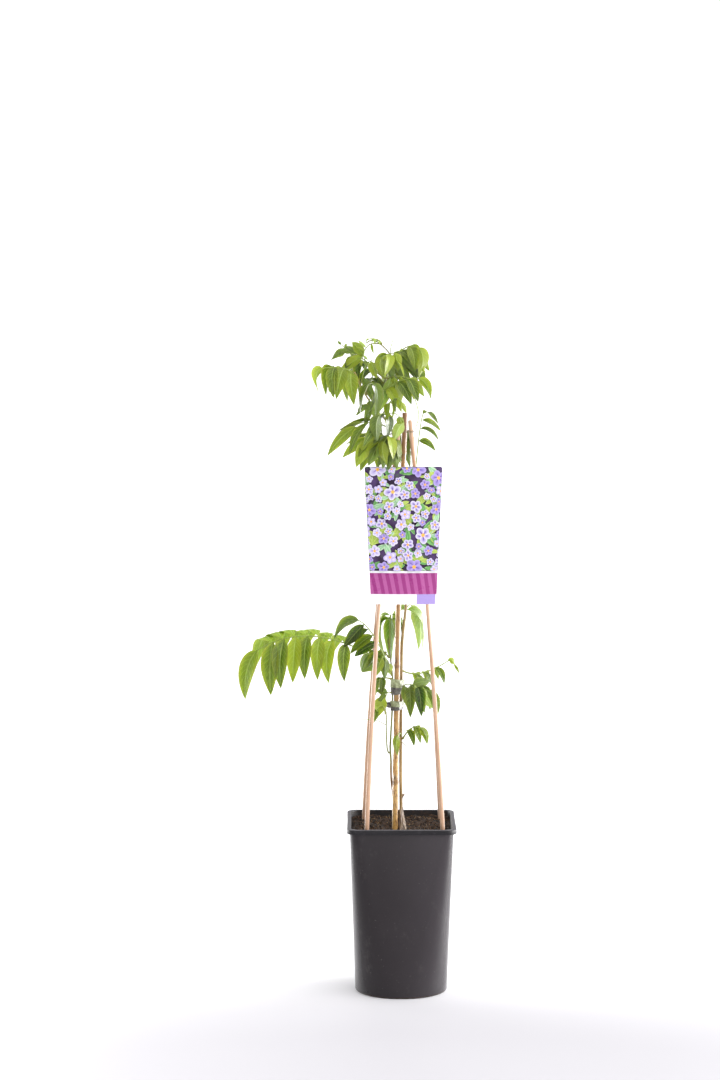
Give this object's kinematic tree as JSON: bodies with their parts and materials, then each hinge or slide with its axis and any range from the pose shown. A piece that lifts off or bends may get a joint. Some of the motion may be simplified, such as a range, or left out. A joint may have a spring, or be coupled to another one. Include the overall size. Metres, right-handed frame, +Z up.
{
  "type": "potted wisteria",
  "caption": "Young climbing wisteria in a tall nursery pot, tied to a bamboo stake inside a wigwam of canes, with arching pinnate leaves and a picture label.",
  "frame": {"origin": "centre of the underside of the pot, where it stands", "axes": "+Z up the plant, +X to the right seen from the label's side, -Y out of the front, where the label faces"},
  "size_m": [0.2762, 0.1739, 0.8252],
  "materials": {
    "pot_plastic": "satin charcoal moulded polypropylene",
    "soil": "matte dark crumbly compost",
    "cane": "pale split cane, satin",
    "bamboo": "golden bamboo, satin",
    "tie_wire": "dark plastic-coated wire",
    "bark": "rough brown bark",
    "green_stem": "smooth green shoot",
    "tie_tape": "soft grey-green tying tape",
    "label": "printed plastic card, satin gloss",
    "leaf": "satin leaf green",
    "young_leaf": "pale young leaf, soft satin",
    "dark_leaf": "deep green leaf, satin"
  },
  "bodies": {
    "root": {"pot": "pot_plastic", "soil": "soil", "cane_front_left": "cane", "cane_front_right": "cane", "cane_back_left": "cane", "cane_back_right": "cane", "bamboo_stake": "bamboo", "cane_tie": "tie_wire", "woody_stem": "bark", "green_stem": "green_stem", "crown_shoot": "green_stem", "side_shoot": "green_stem", "tape_tie_upper": "tie_tape", "tape_tie_lower": "tie_tape", "label_card": "label", "frond_long": "leaf", "frond_dark": "dark_leaf", "frond_middle_left": "dark_leaf", "frond_young": "young_leaf", "frond_pale_left": "young_leaf", "frond_right_upper": "leaf", "frond_right_tie": "dark_leaf", "frond_right_low": "leaf", "frond_stake_leaf": "leaf", "frond_left_tie": "dark_leaf", "frond_side_shoot": "leaf", "frond_crown_left": "leaf", "frond_crown_top": "dark_leaf", "frond_crown_centre": "leaf", "frond_crown_bud": "young_leaf", "frond_crown_right": "leaf", "frond_crown_low_right": "leaf", "frond_crown_mid_right": "dark_leaf", "frond_crown_front": "young_leaf", "frond_crown_hanging": "dark_leaf", "frond_crown_back": "dark_leaf", "frond_crown_single": "dark_leaf", "frond_crown_rear_left": "leaf", "frond_crown_rear_right": "leaf", "frond_low_left": "leaf", "frond_low_front": "dark_leaf", "frond_lower_left": "leaf", "frond_lowest_front": "leaf", "frond_lowest_right": "dark_leaf", "frond_lowest_left": "leaf", "frond_stake_right": "dark_leaf", "frond_right_shoot": "leaf", "frond_rear_right": "leaf", "frond_rear_left": "dark_leaf", "frond_rear_low": "leaf"}
  },
  "joints": []
}
